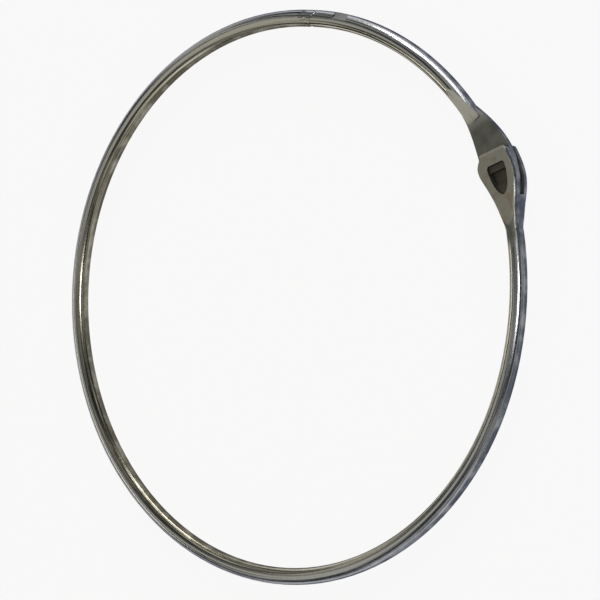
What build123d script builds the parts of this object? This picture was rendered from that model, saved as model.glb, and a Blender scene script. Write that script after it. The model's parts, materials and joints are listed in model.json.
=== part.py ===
from build123d import *
from math import asin, atan2, cos, degrees, radians, sin, tan
import os

# Jailer key ring: a large loose-leaf ring of round nickel-plated steel wire. It has two pieces: the ring
# body, which ends in a forged fork, and the gate, whose flat tongue turns in the fork and whose other end
# laps the body at the snap. Millimetres. The ring lies flat: +Z is its normal, +Y points from its centre
# to the snap, and Z = 0 is the underside of the fork, the lowest face.

# ---- ring ----
INSIDE_DIAMETER = 127.0      # clear inside of the closed ring, 5 inches
WIRE_DIAMETER = 4.0
BODY_LEAD_ANGLE = -16.0      # degrees from +X where the body leaves its circle for the hinge

# ---- hinge ----
PIVOT_ANGLE = 27.6           # degrees from +X, seen from the ring's centre
PIVOT_OUTSET = 1.4           # the pivot stands this far outside the wire's mean circle
FORK_THICKNESS = 4.9
FORK_NECK = 12.5             # from the pivot back to where the fork has become round wire
FORK_EDGE_RADIUS = 1.2       # rounding along the ears' sides
FORK_PRESSED = 0.15          # pressed flat off each face after forging, which leaves a crisp edge
EAR_CORNER = 1.1             # rounding of the corners at the ears' end
EAR_BEVEL_LENGTH = 0.75      # bevel along the ears' end, measured along the ears
EAR_BEVEL_DEPTH = 0.45
TONGUE_THICKNESS = 1.4
SIDE_CLEARANCE = 0.1         # between the tongue and each ear
EYE_RADIUS = 4.45            # round end of the tongue, about the pivot
EYE_CLEARANCE = 0.65         # from the tongue's round end to the floor of the slot
HOLE_DIAMETER = 4.0          # round hole through the tongue
NUB_CLEARANCE = 0.08         # radial, between each ear's nub and the tongue's hole
NUB_GAP = 0.24               # between the ends of the two nubs

# Forged outline of the fork, tail to ear: distance from the pivot (+ towards the gate), outer half
# width, inner half width.
FORK_OUTLINE = [
    (-9.6, 2.35, 2.20),
    (-7.4, 2.85, 2.55),
    (-5.4, 3.50, 2.85),
    (-3.4, 4.25, 3.35),
    (-0.9, 4.95, 4.10),
    (2.3, 5.05, 5.05),
    (4.6, 4.75, 4.75),
    (6.9, 4.20, 3.75),
]
FULL_HEIGHT_FROM = -4.5      # from here to the ears' end the fork has its full thickness

# ---- pits pressed in the ears, which raise the nubs on their inner faces ----
PIT_FORWARD = 3.45           # from the pivot to the pit's straight edge
PIT_BACK = 3.95              # from the pivot to the pit's point
PIT_OUTER = 2.95
PIT_INNER = 2.10
PIT_LEDGE = 1.6              # width of the shallow ledge behind the straight edge
PIT_LEDGE_DEPTH = 0.5
PIT_DEPTH = 1.25
PIT_DRAFT = 14.0             # degrees that the pit's walls lean

# ---- gate ----
TAB_OUTER = 4.85             # outer half width of the flat tab, where it leaves the fork
TAB_INNER = 3.95             # inner half width of the flat tab, where it leaves the fork
TAB_LEAVES = 6.6             # distance from the pivot at which those two are measured
TAB_END = 18.5               # distance from the pivot at which the tab is as narrow as the wire
SHOULDER_OUTER = 12.6        # where the flat starts, along the outer side
SHOULDER_INNER = 16.4        # where the flat starts, along the inner side
SHOULDER_RAMP = 7.5          # length of the slope from the flat up to the round wire

# ---- snap ----
LAP_LENGTH = 3.6             # overlap of the gate's hook and the body's tongue, at the joint's middle
SEAM_LEAN = 25.0             # degrees that both ends of the lap lean towards the gate, going outward
SNAP_GAP = 0.12              # left between them at every face
TOOTH_HEIGHT = 0.35          # rib on the body's tongue and groove in the gate's hook
TOOTH_BASE = 1.5
TOOTH_TOP = 0.7
NOTCH_WIDTH = 1.7            # open V at the inner edge, where the body's tongue ends
NOTCH_DEPTH = 0.95
CREASE_DEPTH = 0.16          # die crease round the gate's hook
CREASE_RADIUS = 0.36
MARK_ANGLE = 8.9             # degrees from the snap to the middle of the gripping flat
MARK_LENGTH = 4.0
MARK_DEPTH = 0.22

# ---- worked out; everything is drawn about the ring's mid-plane and lifted at the end ----
wire_radius = WIRE_DIAMETER / 2
mean_radius = (INSIDE_DIAMETER + WIRE_DIAMETER) / 2
fork_half = FORK_THICKNESS / 2
tongue_half = TONGUE_THICKNESS / 2
slot_half = tongue_half + SIDE_CLEARANCE
slot_floor = EYE_RADIUS + EYE_CLEARANCE
nub_radius = HOLE_DIAMETER / 2 - NUB_CLEARANCE
nub_height = slot_half - NUB_GAP / 2
pivot_radius = mean_radius + PIVOT_OUTSET
seam_slope = tan(radians(SEAM_LEAN))


def polar(radius, angle, centre=(0, 0)):
    """Point in the mid-plane, `angle` in degrees from +X."""
    return Vector(centre[0] + radius * cos(radians(angle)), centre[1] + radius * sin(radians(angle)), 0)


def heading(angle):
    """Unit vector in the mid-plane."""
    return polar(1, angle)


pivot = polar(pivot_radius, PIVOT_ANGLE)
snap = Vector(0, mean_radius, 0)

# The body's last arc is tangent to its circle at the lead angle and runs to the pivot.
lead_span = radians(PIVOT_ANGLE - BODY_LEAD_ANGLE)
lead_along = pivot_radius * sin(lead_span)
lead_inward = mean_radius - pivot_radius * cos(lead_span)
lead_radius = (lead_along**2 + lead_inward**2) / (2 * lead_inward)
lead_turn = degrees(asin(lead_along / lead_radius))
lead_centre = polar(mean_radius - lead_radius, BODY_LEAD_ANGLE)
pivot_on_lead = BODY_LEAD_ANGLE + lead_turn
neck_turn = degrees(FORK_NECK / lead_radius)

# The gate is bent to the same radius as the body and runs from the pivot to the snap.
half_chord = (pivot - snap).length / 2
chord_angle = degrees(atan2(snap.Y - pivot.Y, snap.X - pivot.X))
gate_centre = pivot + heading(chord_angle + 90 - degrees(asin(half_chord / mean_radius))) * mean_radius
pivot_on_gate = degrees(atan2(pivot.Y - gate_centre.Y, pivot.X - gate_centre.X))
snap_on_gate = degrees(atan2(snap.Y - gate_centre.Y, snap.X - gate_centre.X))
lap_turn = degrees(LAP_LENGTH / mean_radius)


def on_gate(along, outward, height=0):
    """Point near the gate: distance along it from the pivot, and outward from its centre line."""
    angle = pivot_on_gate + degrees(along / mean_radius)
    point = polar(mean_radius + outward, angle, (gate_centre.X, gate_centre.Y))
    return point + Vector(0, 0, height)


def wire(arcs):
    """Round wire swept along arcs that follow one another."""
    path = Wire(arcs)
    section = Plane(origin=path @ 0, z_dir=path % 0) * Circle(wire_radius)
    return sweep(section, path=path)


def fork_frame():
    """Frame at the pivot: x along the ears to the gate, y outward, z towards the underside."""
    return Plane(origin=pivot, x_dir=heading(pivot_on_lead + 90), z_dir=(0, 0, -1))


def fork_station(along, outer, inner, half_height, corner):
    """Cross-section of the fork: on the lead arc behind the pivot, on its tangent ahead of it."""
    angle = pivot_on_lead + degrees(min(along, 0) / lead_radius)
    middle = polar(lead_radius + (outer - inner) / 2, angle, (lead_centre.X, lead_centre.Y))
    middle += heading(angle + 90) * max(along, 0)
    plane = Plane(origin=middle, x_dir=heading(angle), z_dir=heading(angle + 90))
    return plane * RectangleRounded(outer + inner, 2 * half_height, corner)


def forged_fork():
    """The fork before its slot is cut: round wire that swells into the two ears' outline."""
    nearly_round = 0.985 * wire_radius
    sections = [
        fork_station(-FORK_NECK, wire_radius, wire_radius, wire_radius, nearly_round),
        fork_station(-FORK_NECK + 1.0, wire_radius, wire_radius, wire_radius, nearly_round),
    ]
    for along, outer, inner in FORK_OUTLINE:
        grown = min(1.0, (along + FORK_NECK) / (FULL_HEIGHT_FROM + FORK_NECK))
        half_height = wire_radius + (fork_half + FORK_PRESSED - wire_radius) * grown
        corner = nearly_round + (FORK_EDGE_RADIUS - nearly_round) * grown
        sections.append(fork_station(along, outer, inner, half_height, corner))
    block = Pos(pivot) * Box(4 * FORK_NECK, 4 * FORK_NECK, FORK_THICKNESS)
    return loft(sections) & block


def pit_outline(inset):
    """Shield outline of a pit, drawn in from its edge by `inset`."""
    front = PIT_FORWARD - inset
    outer = PIT_OUTER - inset
    inner = inset - PIT_INNER
    tip = 1.6 * inset - PIT_BACK
    middle = (PIT_OUTER - PIT_INNER) / 2
    corner = 0.5
    return make_face([
        Line((front, inner + corner), (front, outer - corner)),
        Line((front, outer - corner), (front - corner, outer)),
        Bezier((front - corner, outer), (-1.6, outer), (tip + 0.3, middle + 1.3), (tip, middle)),
        Bezier((tip, middle), (tip + 0.3, middle - 1.3), (-1.0, inner), (front - corner, inner)),
        Line((front - corner, inner), (front, inner + corner)),
    ])


def pit():
    """One pit in the face of the ear at local z = -fork_half: a ledge, a deep floor and a ramp."""
    face = -fork_half
    ledge = Pos(0, 0, face) * extrude(pit_outline(0), amount=PIT_LEDGE_DEPTH, taper=PIT_DRAFT)
    core = Pos(0, 0, face) * extrude(pit_outline(0.12), amount=PIT_DEPTH, taper=PIT_DRAFT)
    wall = PIT_FORWARD - PIT_LEDGE
    side = Polyline(
        (wall + 0.3, face - 1),
        (wall - 0.2, face + PIT_DEPTH),
        (-0.9, face + PIT_DEPTH),
        (-PIT_BACK, face + 0.2),
        (-PIT_BACK, face - 1),
        close=True,
    )
    wedge = extrude(Plane.XZ * make_face(side), amount=FORK_THICKNESS, both=True)
    return ledge + (wedge & core)


def rounded_end():
    """What rounds the ears' end corners off, seen from the front."""
    end, outer, inner = FORK_OUTLINE[-1]
    reach = 2 * EYE_RADIUS
    keep = Pos(end - reach, (outer - inner) / 2) * RectangleRounded(2 * reach, outer + inner, EAR_CORNER)
    from_left = (Align.MIN, Align.CENTER)
    tip = Pos(end - EAR_CORNER, 0) * Rectangle(3 * EAR_CORNER, 4 * FORK_THICKNESS, align=from_left)
    return extrude(tip - keep, amount=FORK_THICKNESS, both=True)


def end_bevel():
    """What the bevel takes off the end of the ear whose face is at local z = -fork_half."""
    end = FORK_OUTLINE[-1][0]
    side = Polyline(
        (end - EAR_BEVEL_LENGTH, -fork_half),
        (end, -fork_half + EAR_BEVEL_DEPTH),
        (end, -2 * fork_half),
        (end - EAR_BEVEL_LENGTH, -2 * fork_half),
        close=True,
    )
    return extrude(Plane.XZ * make_face(side), amount=3 * EYE_RADIUS, both=True)


def lap_tool(points):
    """Prism through the wire's whole height, drawn at the snap: x towards the gate, y outward."""
    return Pos(snap) * extrude(make_face(Polyline(*points, close=True)), amount=2 * wire_radius, both=True)


def notch():
    """Open V at the inner edge, where the body's tongue meets the gate."""
    edge = -wire_radius
    seam = (LAP_LENGTH + SNAP_GAP) / 2 - seam_slope * wire_radius
    half = NOTCH_WIDTH / 2
    return lap_tool([(seam - half, edge - 0.1), (seam, edge + NOTCH_DEPTH), (seam + half, edge - 0.1)])


def ring_body():
    """Long arc of the ring, from its tongue at the snap round the far side to the slotted fork."""
    start = 90 - lap_turn
    circle = CenterArc((0, 0, 0), mean_radius, start, 360 + BODY_LEAD_ANGLE - start)
    lead = CenterArc(lead_centre, lead_radius, BODY_LEAD_ANGLE, lead_turn - neck_turn)
    round_wire = wire([circle, lead])

    half = LAP_LENGTH / 2
    beyond = 3 * LAP_LENGTH
    side = 2 * wire_radius
    seat = -SNAP_GAP / 2
    outer_half = lap_tool([
        (-half - SNAP_GAP + seam_slope * side, side),
        (-half - SNAP_GAP, seat),
        (-TOOTH_BASE / 2, seat),
        (-TOOTH_TOP / 2, seat + TOOTH_HEIGHT),
        (TOOTH_TOP / 2, seat + TOOTH_HEIGHT),
        (TOOTH_BASE / 2, seat),
        (half, seat),
        (half - seam_slope * side, -side),
        (beyond, -side),
        (beyond, side),
    ])

    frame = fork_frame()
    slot = Pos(-slot_floor, 0, 0) * Box(
        4 * slot_floor, 4 * FORK_THICKNESS, 2 * slot_half, align=(Align.MIN, Align.CENTER, Align.CENTER)
    )
    nub = Pos(0, 0, -slot_half + nub_height / 2) * Cylinder(nub_radius, nub_height)
    ears = forged_fork() - frame * rounded_end() - frame * slot
    ears = ears - frame * end_bevel() - frame * mirror(end_bevel(), Plane.XY)
    ears = ears + frame * nub + frame * mirror(nub, Plane.XY)
    ears = ears - frame * pit() - frame * mirror(pit(), Plane.XY)
    return (round_wire - outer_half - notch()) + ears


def tab():
    """Flat tongue of the gate: round about the pivot, widest in the fork's mouth, then down to the wire."""
    square = pivot_on_gate
    outer_start = pivot + heading(square) * EYE_RADIUS
    inner_start = pivot - heading(square) * EYE_RADIUS
    round_end = ThreePointArc(inner_start, pivot - heading(square + 90) * EYE_RADIUS, outer_start)
    step = (TAB_END - TAB_LEAVES) / 2
    outer = Spline(
        outer_start,
        on_gate(TAB_LEAVES, TAB_OUTER),
        on_gate(TAB_LEAVES + step, (TAB_OUTER + wire_radius) / 2 + 0.25),
        on_gate(TAB_END, wire_radius - 0.05),
    )
    inner = Spline(
        inner_start,
        on_gate(TAB_LEAVES, -TAB_INNER),
        on_gate(TAB_LEAVES + step, -(TAB_INNER + wire_radius) / 2 + 0.15),
        on_gate(TAB_END, 0.05 - wire_radius),
    )
    end = Line(outer @ 1, inner @ 1)
    plate = extrude(make_face([round_end, outer, end, inner]), amount=tongue_half, both=True)
    hole = Pos(pivot) * Cylinder(HOLE_DIAMETER / 2, 2 * TONGUE_THICKNESS)
    return plate - hole


def shoulder():
    """What is milled off one side of the wire to leave the tab: a flat that ends in a slanted ramp."""
    inner_foot = on_gate(SHOULDER_INNER, -wire_radius)
    outer_foot = on_gate(SHOULDER_OUTER, wire_radius)
    line = (outer_foot - inner_foot).normalized()
    frame = Plane(origin=(inner_foot + outer_foot) / 2, x_dir=Vector(-line.Y, line.X, 0), z_dir=(0, 0, 1))
    back = 3 * EYE_RADIUS
    side = Polyline(
        (-back, tongue_half),
        (0, tongue_half),
        (SHOULDER_RAMP, wire_radius + 0.01),
        (SHOULDER_RAMP, 2 * wire_radius),
        (-back, 2 * wire_radius),
        close=True,
    )
    return frame * extrude(Plane.XZ * make_face(side), amount=3 * WIRE_DIAMETER, both=True)


def gate():
    """Short arc of the ring: tongue in the fork, round wire, and the hook that laps the body."""
    first = degrees((TAB_END - 3.0) / mean_radius)
    start = pivot_on_gate + first
    arc = CenterArc(gate_centre, mean_radius, start, snap_on_gate + lap_turn - start)
    round_wire = wire([arc])

    half = LAP_LENGTH / 2
    beyond = 3 * LAP_LENGTH
    side = 2 * wire_radius
    seat = SNAP_GAP / 2
    inner_half = lap_tool([
        (half + SNAP_GAP - seam_slope * side, -side),
        (half + SNAP_GAP, seat),
        (TOOTH_BASE / 2 + SNAP_GAP, seat),
        (TOOTH_TOP / 2 + SNAP_GAP, seat + TOOTH_HEIGHT),
        (-TOOTH_TOP / 2 - SNAP_GAP, seat + TOOTH_HEIGHT),
        (-TOOTH_BASE / 2 - SNAP_GAP, seat),
        (-half, seat),
        (-half + seam_slope * side, side),
        (-beyond, side),
        (-beyond, -side),
    ])
    ring = Rot(0, 90, 0) * Torus(wire_radius + CREASE_RADIUS - CREASE_DEPTH, CREASE_RADIUS)
    from_seat = (Align.CENTER, Align.MIN, Align.CENTER)
    outer_half = Box(WIRE_DIAMETER, WIRE_DIAMETER, 2 * WIRE_DIAMETER, align=from_seat)
    crease = Pos(half, mean_radius, 0) * Rot(0, 0, -SEAM_LEAN) * (ring & outer_half)
    mark_angle = snap_on_gate - MARK_ANGLE
    mark_place = Plane(
        origin=polar(mean_radius, mark_angle, (gate_centre.X, gate_centre.Y)),
        x_dir=heading(mark_angle + 90),
        z_dir=heading(mark_angle) + Vector(0, 0, 1.2),
    )
    mark = Pos(0, 0, wire_radius - MARK_DEPTH) * Box(
        MARK_LENGTH, WIRE_DIAMETER, WIRE_DIAMETER, align=(Align.CENTER, Align.CENTER, Align.MIN)
    )
    bar = round_wire - inner_half - notch() - crease - mark_place * mark
    return bar + tab() - shoulder() - mirror(shoulder(), Plane.XY)


def lifted(solid, name):
    """The finished piece, raised so that the fork's underside is at Z = 0, as one solid."""
    piece = Pos(0, 0, fork_half) * solid
    piece = piece.solids().sort_by(SortBy.VOLUME)[-1]
    piece.label = name
    return piece


if __name__ == "__main__":
    os.makedirs("parts", exist_ok=True)
    export_step(lifted(ring_body(), "ring_body"), "parts/ring_body.step")
    export_step(lifted(gate(), "gate"), "parts/gate.step")
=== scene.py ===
import json
import math

import bpy
from mathutils import Euler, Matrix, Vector


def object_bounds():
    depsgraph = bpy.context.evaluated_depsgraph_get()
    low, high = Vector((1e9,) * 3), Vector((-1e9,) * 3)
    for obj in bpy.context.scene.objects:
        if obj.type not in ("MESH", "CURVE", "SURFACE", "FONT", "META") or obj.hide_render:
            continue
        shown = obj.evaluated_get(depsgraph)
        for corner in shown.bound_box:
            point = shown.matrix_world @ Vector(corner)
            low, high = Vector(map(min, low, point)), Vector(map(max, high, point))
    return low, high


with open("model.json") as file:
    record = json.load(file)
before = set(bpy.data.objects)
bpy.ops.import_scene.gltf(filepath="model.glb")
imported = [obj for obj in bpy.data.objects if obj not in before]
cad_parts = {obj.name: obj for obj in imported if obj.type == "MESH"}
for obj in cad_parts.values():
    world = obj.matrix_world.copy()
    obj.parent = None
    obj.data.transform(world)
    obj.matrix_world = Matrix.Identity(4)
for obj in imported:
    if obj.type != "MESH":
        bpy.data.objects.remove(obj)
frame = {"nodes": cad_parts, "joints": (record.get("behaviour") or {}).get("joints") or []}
cad_low, cad_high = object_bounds()

MM = 0.001
MID_HEIGHT = (cad_low.z + cad_high.z) / 2
PIVOT = Vector(frame["joints"][0]["pos_m"])
MEAN_RADIUS = 65.5 * MM                # of the wire's centre line
PIT_REACH = (4.4 * MM, 4.1 * MM)       # from the pivot: outside the ear's pit, inside it
PIT_HEIGHT = (2.3 * MM, 1.9 * MM)      # from the mid-plane: on the ear's face, down in the pit
EAR_HEIGHT = (2.02 * MM, 2.15 * MM)    # from the mid-plane: highest wire, lowest ear face
HINGE_REACH = (17.0 * MM, 13.0 * MM)   # from the pivot: plain wire, dull hinge

# Wire colours. The olive tint inside the ring and the bluish tint outside are painted reflection of the
# surroundings each side faces.
BRIGHT_INSIDE = (0.60, 0.58, 0.48, 1)
BRIGHT_OUTSIDE = (0.55, 0.56, 0.59, 1)
DARK_INSIDE = (0.085, 0.078, 0.055, 1)
DARK_OUTSIDE = (0.055, 0.065, 0.09, 1)
TAB_PALE = (0.31, 0.305, 0.265, 1)
TAB_DARK = (0.20, 0.20, 0.18, 1)
EAR_PALE = (0.48, 0.47, 0.405, 1)
EAR_STAIN = (0.43, 0.355, 0.265, 1)
# Painted shade for the ear's pit: the recess is coloured darker where its walls are in shadow.
PIT_SHADE_DARK = (0.06, 0.055, 0.042, 1)
PIT_SHADE_PALE = (0.17, 0.16, 0.125, 1)
EDGE_TINT = (0.42, 0.42, 0.46, 1)      # the metal's colour at a grazing angle
DULL_ROUGHNESS = 0.36
HINGE_ROUGHNESS = 0.10
GLOW_SHARE = 0.9                       # of the floor as it is seen; the rest keeps the shadows


# ---- small helpers for node trees ----
class Nodes:
    """A material's or world's node tree, with short calls for the nodes used here."""

    def __init__(self, owner):
        owner.use_nodes = True
        self.tree = owner.node_tree
        self.tree.nodes.clear()

    def add(self, kind, inputs=None, **settings):
        node = self.tree.nodes.new(kind)
        for name, value in settings.items():
            setattr(node, name, value)
        for key, value in (inputs or {}).items():
            self.feed(node.inputs[key], value)
        return node

    def feed(self, socket, value):
        if isinstance(value, bpy.types.NodeSocket):
            self.tree.links.new(value, socket)
        else:
            socket.default_value = value

    def math(self, operation, a, b=0.0, c=0.0):
        return self.add("ShaderNodeMath", {0: a, 1: b, 2: c}, operation=operation).outputs[0]

    def vector(self, operation, a, b=(0.0, 0.0, 0.0)):
        node = self.add("ShaderNodeVectorMath", {0: a, 1: b}, operation=operation)
        return node.outputs["Value" if operation in ("DOT_PRODUCT", "LENGTH") else "Vector"]

    def mix(self, factor, a, b):
        node = self.add("ShaderNodeMix", data_type="RGBA")
        self.feed(node.inputs["Factor"], factor)
        self.feed(node.inputs["A"], a)
        self.feed(node.inputs["B"], b)
        return node.outputs["Result"]

    def span(self, value, low, high, start=0.0, end=1.0):
        """Value mapped smoothly from low..high to start..end."""
        node = self.add("ShaderNodeMapRange", interpolation_type="SMOOTHSTEP")
        names = ("Value", "From Min", "From Max", "To Min", "To Max")
        for name, number in zip(names, (value, low, high, start, end)):
            self.feed(node.inputs[name], number)
        return node.outputs["Result"]

    def noise(self, vector, scale, detail=3.0, roughness=0.55):
        settings = {"Vector": vector, "Scale": scale, "Detail": detail, "Roughness": roughness}
        return self.add("ShaderNodeTexNoise", settings).outputs["Fac"]


def along_wire(nodes):
    """Coordinates that follow the wire: across it in radius and height, and along its arc.

    The arc length is cut at the snap, so that no pattern breaks in the open wire."""
    place = nodes.add("ShaderNodeTexCoord").outputs["Object"]
    parts = nodes.add("ShaderNodeSeparateXYZ", {0: place})
    flat = nodes.add("ShaderNodeCombineXYZ", {0: parts.outputs[0], 1: parts.outputs[1]}).outputs[0]
    radius = nodes.vector("LENGTH", flat)
    minus_y = nodes.math("MULTIPLY", parts.outputs[1], -1.0)
    arc = nodes.math("MULTIPLY", nodes.math("ARCTAN2", parts.outputs[0], minus_y), MEAN_RADIUS)
    return radius, arc, parts.outputs[2], flat


def nickel(name, shift):
    """Nickel plate: drawn and polished on the wire, dull on the milled and pressed faces of the hinge.

    `shift` moves the pattern, so that two pieces cut from the same wire don't match."""
    material = bpy.data.materials.new(name)
    nodes = Nodes(material)
    radius, arc, height, flat = along_wire(nodes)
    place = nodes.add("ShaderNodeTexCoord").outputs["Object"]
    normal = nodes.add("ShaderNodeTexCoord").outputs["Normal"]
    upward = nodes.add("ShaderNodeSeparateXYZ", {0: normal}).outputs[2]
    upright = nodes.math("ABSOLUTE", upward)
    outward = nodes.vector("DOT_PRODUCT", normal, nodes.vector("NORMALIZE", flat))

    # Drawing lines: long noise that follows the wire, coarse for die lines (also used as painted reflection
    # bands) and fine for hairlines.
    def drawn(place_across, across, along, detail):
        vector = nodes.add("ShaderNodeCombineXYZ", {
            0: nodes.math("MULTIPLY", place_across[0], across),
            1: nodes.math("MULTIPLY_ADD", arc, along, shift),
            2: nodes.math("MULTIPLY", place_across[1], across),
        }).outputs[0]
        return nodes.noise(vector, 1.0, detail=detail, roughness=0.6)

    # The colour's lines take their place round the wire from the normal, which stays smooth where the mesh
    # is made of flat facets. Bump needs a real position.
    round_wire = (outward, upward)
    # Coarse lines: real drawing streaks, and also painted reflection, as dark bands at set places round the
    # wire that stand in for reflected dark surroundings.
    drawn_lines_and_painted_bands = drawn(round_wire, 3.0, 14.0, 3.0)
    hairlines = drawn(round_wire, 13.0, 90.0, 3.0)
    die_relief = drawn((radius, height), 1100.0, 10.0, 0.0)
    clouds = nodes.noise(place, 260.0, detail=4.0)
    specks = nodes.noise(place, 1900.0, detail=2.0)

    # The dull faces: nearly level, and in the hinge. The ear's face is the highest, and its pit is darkened
    # with painted shade.
    level = nodes.span(upright, 0.72, 0.86)
    from_pivot = nodes.vector("LENGTH", nodes.vector("SUBTRACT", flat, (PIVOT.x, PIVOT.y, 0.0)))
    near_hinge = nodes.span(from_pivot, *HINGE_REACH)
    dull = nodes.math("MULTIPLY", level, near_hinge)
    above_mid = nodes.math("ABSOLUTE", nodes.math("SUBTRACT", height, MID_HEIGHT))
    on_ear = nodes.math("MULTIPLY", dull, nodes.span(above_mid, *EAR_HEIGHT))
    in_pit = nodes.math("MULTIPLY", nodes.span(from_pivot, *PIT_REACH), nodes.span(above_mid, *PIT_HEIGHT))

    # Colour: darker on the flanks, olive inside the ring and bluish outside. This is painted reflection and
    # painted shade for the dark surroundings that the metal reflects, laid over real drawing streaks; the
    # cloudy patches that weaken it are the metal's own tarnish.
    flank = nodes.math("SUBTRACT", 1.0, upright)
    # Painted shade: the flanks get darker the further they turn from level, standing in for the darker
    # reflection at the wire's edges.
    tarnish_and_painted_shade = nodes.math("ADD", drawn_lines_and_painted_bands, nodes.math("MULTIPLY", flank, 0.46))
    # Painted shade: the flanks near the hinge are darkened further, to damp the highlight there.
    tarnish_and_painted_shade = nodes.math("ADD", tarnish_and_painted_shade, nodes.math("MULTIPLY", nodes.math("MULTIPLY", near_hinge, flank), 0.15))
    tarnish_and_painted_shade = nodes.span(tarnish_and_painted_shade, 0.54, 0.74)
    tarnish_and_painted_shade = nodes.math("MULTIPLY", tarnish_and_painted_shade, nodes.span(clouds, 0.25, 0.6, 0.6, 0.95))
    # Painted reflection: the side of the wire facing into the ring is tinted olive, the side facing out
    # bluish.
    bright = nodes.mix(nodes.span(outward, -0.7, 0.7), BRIGHT_INSIDE, BRIGHT_OUTSIDE)
    dark = nodes.mix(nodes.span(outward, -0.4, 0.4), DARK_INSIDE, DARK_OUTSIDE)
    wire_colour = nodes.mix(tarnish_and_painted_shade, bright, dark)
    stain = nodes.span(nodes.noise(place, 420.0, detail=3.0), 0.45, 0.68)
    tab_colour = nodes.mix(nodes.span(clouds, 0.3, 0.7), TAB_PALE, TAB_DARK)
    ear_colour = nodes.mix(nodes.math("MULTIPLY", stain, 0.9), EAR_PALE, EAR_STAIN)
    colour = nodes.mix(dull, wire_colour, tab_colour)
    colour = nodes.mix(on_ear, colour, ear_colour)
    # Painted shade: the ear's pit is darkened, with cloudy variation, standing in for the shadow in the
    # recess.
    pit_shade = nodes.mix(clouds, PIT_SHADE_DARK, PIT_SHADE_PALE)
    colour = nodes.mix(nodes.math("MULTIPLY", in_pit, 0.8), colour, pit_shade)

    wear = nodes.math("ADD", hairlines, nodes.math("MULTIPLY", specks, 0.4))
    rough = nodes.span(wear, 0.5, 0.95, 0.13, 0.25)
    matte = nodes.math("MAXIMUM", dull, in_pit)
    rough = nodes.math("MULTIPLY_ADD", matte, DULL_ROUGHNESS, rough)
    rough = nodes.math("MULTIPLY_ADD", near_hinge, HINGE_ROUGHNESS, rough)
    grain = nodes.math("ADD", nodes.math("MULTIPLY", clouds, 0.5), nodes.math("MULTIPLY", specks, 0.12))
    fine = nodes.add("ShaderNodeBump", {"Strength": 0.14, "Distance": 0.00004, "Height": grain})
    lines = nodes.add("ShaderNodeBump", {
        "Strength": 0.5, "Distance": 0.00010, "Height": die_relief, "Normal": fine.outputs[0],
    })
    shader = nodes.add("ShaderNodeBsdfPrincipled", {
        "Base Color": colour, "Metallic": 1.0, "Roughness": rough, "Normal": lines.outputs[0],
        "Specular Tint": EDGE_TINT,
    })
    nodes.add("ShaderNodeOutputMaterial", {"Surface": shader.outputs[0]})
    return material


def paper(name):
    """White floor. Seen directly or in the metal it is nearly white, and it keeps a share of its shadows."""
    material = bpy.data.materials.new(name)
    nodes = Nodes(material)
    sheet = nodes.add("ShaderNodeBsdfPrincipled", {"Base Color": (0.93, 0.93, 0.925, 1), "Roughness": 0.9})
    glow = nodes.add("ShaderNodeEmission", {"Color": (1.0, 1.0, 1.0, 1), "Strength": 1.0})
    ray = nodes.add("ShaderNodeLightPath").outputs
    seen = nodes.math("MAXIMUM", ray["Is Camera Ray"], ray["Is Glossy Ray"])
    seen = nodes.math("MAXIMUM", seen, ray["Is Transmission Ray"])
    share = nodes.math("MULTIPLY", seen, GLOW_SHARE)
    both = nodes.add("ShaderNodeMixShader", {0: share, 1: sheet.outputs[0], 2: glow.outputs[0]})
    nodes.add("ShaderNodeOutputMaterial", {"Surface": both.outputs[0]})
    return material


# ---- the object ----
for node, shift in (("ring_body", 0.0), ("gate", 41.0)):
    plate = nickel(node + "_nickel", shift)
    for slot in frame["nodes"][node].material_slots:
        slot.material = plate

# ---- floor ----
bpy.ops.mesh.primitive_circle_add(vertices=96, radius=6.0, fill_type="NGON", location=(0, 0, cad_low.z))
floor = bpy.context.object
floor.name = "floor"
floor.data.materials.append(paper("floor_paper"))


# ---- light ----
LAMP_DISTANCE = 3.0


def soft_box(name, toward, width, height, radiance, colour):
    """Rectangular lamp facing the ring, `toward` being its direction from the ring."""
    data = bpy.data.lights.new(name, "AREA")
    data.shape = "RECTANGLE"
    data.size = width
    data.size_y = height
    data.color = colour
    data.energy = radiance * math.pi * width * height
    lamp = bpy.data.objects.new(name, data)
    bpy.context.collection.objects.link(lamp)
    direction = Vector(toward).normalized()
    lamp.location = direction * LAMP_DISTANCE
    lamp.rotation_euler = direction.to_track_quat("Z", "Y").to_euler()


soft_box("window_low", (-0.02, 0.95, 0.20), 1.9, 0.38, 9.0, (1.0, 0.975, 0.92))
soft_box("window_high", (-0.02, 0.88, 0.46), 1.6, 0.34, 5.5, (0.97, 0.98, 1.0))
soft_box("lamp_front", (0.62, 0.03, 0.78), 0.62, 0.62, 9.0, (1.0, 1.0, 1.0))
soft_box("soft_left", (-0.93, -0.25, 0.42), 1.5, 0.5, 1.8, (1.0, 0.97, 0.84))
soft_box("soft_below", (0.25, -0.92, 0.30), 2.6, 1.2, 0.62, (0.98, 0.99, 1.0))

world = bpy.data.worlds.new("room")
bpy.context.scene.world = world
sky = Nodes(world)
direction = sky.add("ShaderNodeTexCoord").outputs["Generated"]
walls = sky.noise(direction, 3.1, detail=2.0, roughness=0.5)
shade = sky.mix(sky.span(walls, 0.44, 0.60), (0.035, 0.038, 0.045, 1), (0.52, 0.51, 0.465, 1))
room = sky.add("ShaderNodeBackground", {"Color": shade, "Strength": 1.0})
sky.add("ShaderNodeOutputWorld", {"Surface": room.outputs[0]})

# ---- camera ----
CAMERA_PLACE = Vector((622.62, 27.75, 782.04)) * MM + Vector((0, 0, MID_HEIGHT))
CAMERA_TURN = Euler([math.radians(angle) for angle in (1.531, 38.389, 5.073)], "XYZ")
camera_data = bpy.data.cameras.new("camera")
camera_data.sensor_width = 36.0
camera_data.lens = 255.6
camera_data.clip_start = 0.01
camera = bpy.data.objects.new("camera", camera_data)
camera.location = CAMERA_PLACE
camera.rotation_euler = CAMERA_TURN
bpy.context.collection.objects.link(camera)
bpy.context.scene.camera = camera
bpy.context.scene.view_settings.view_transform = "Standard"
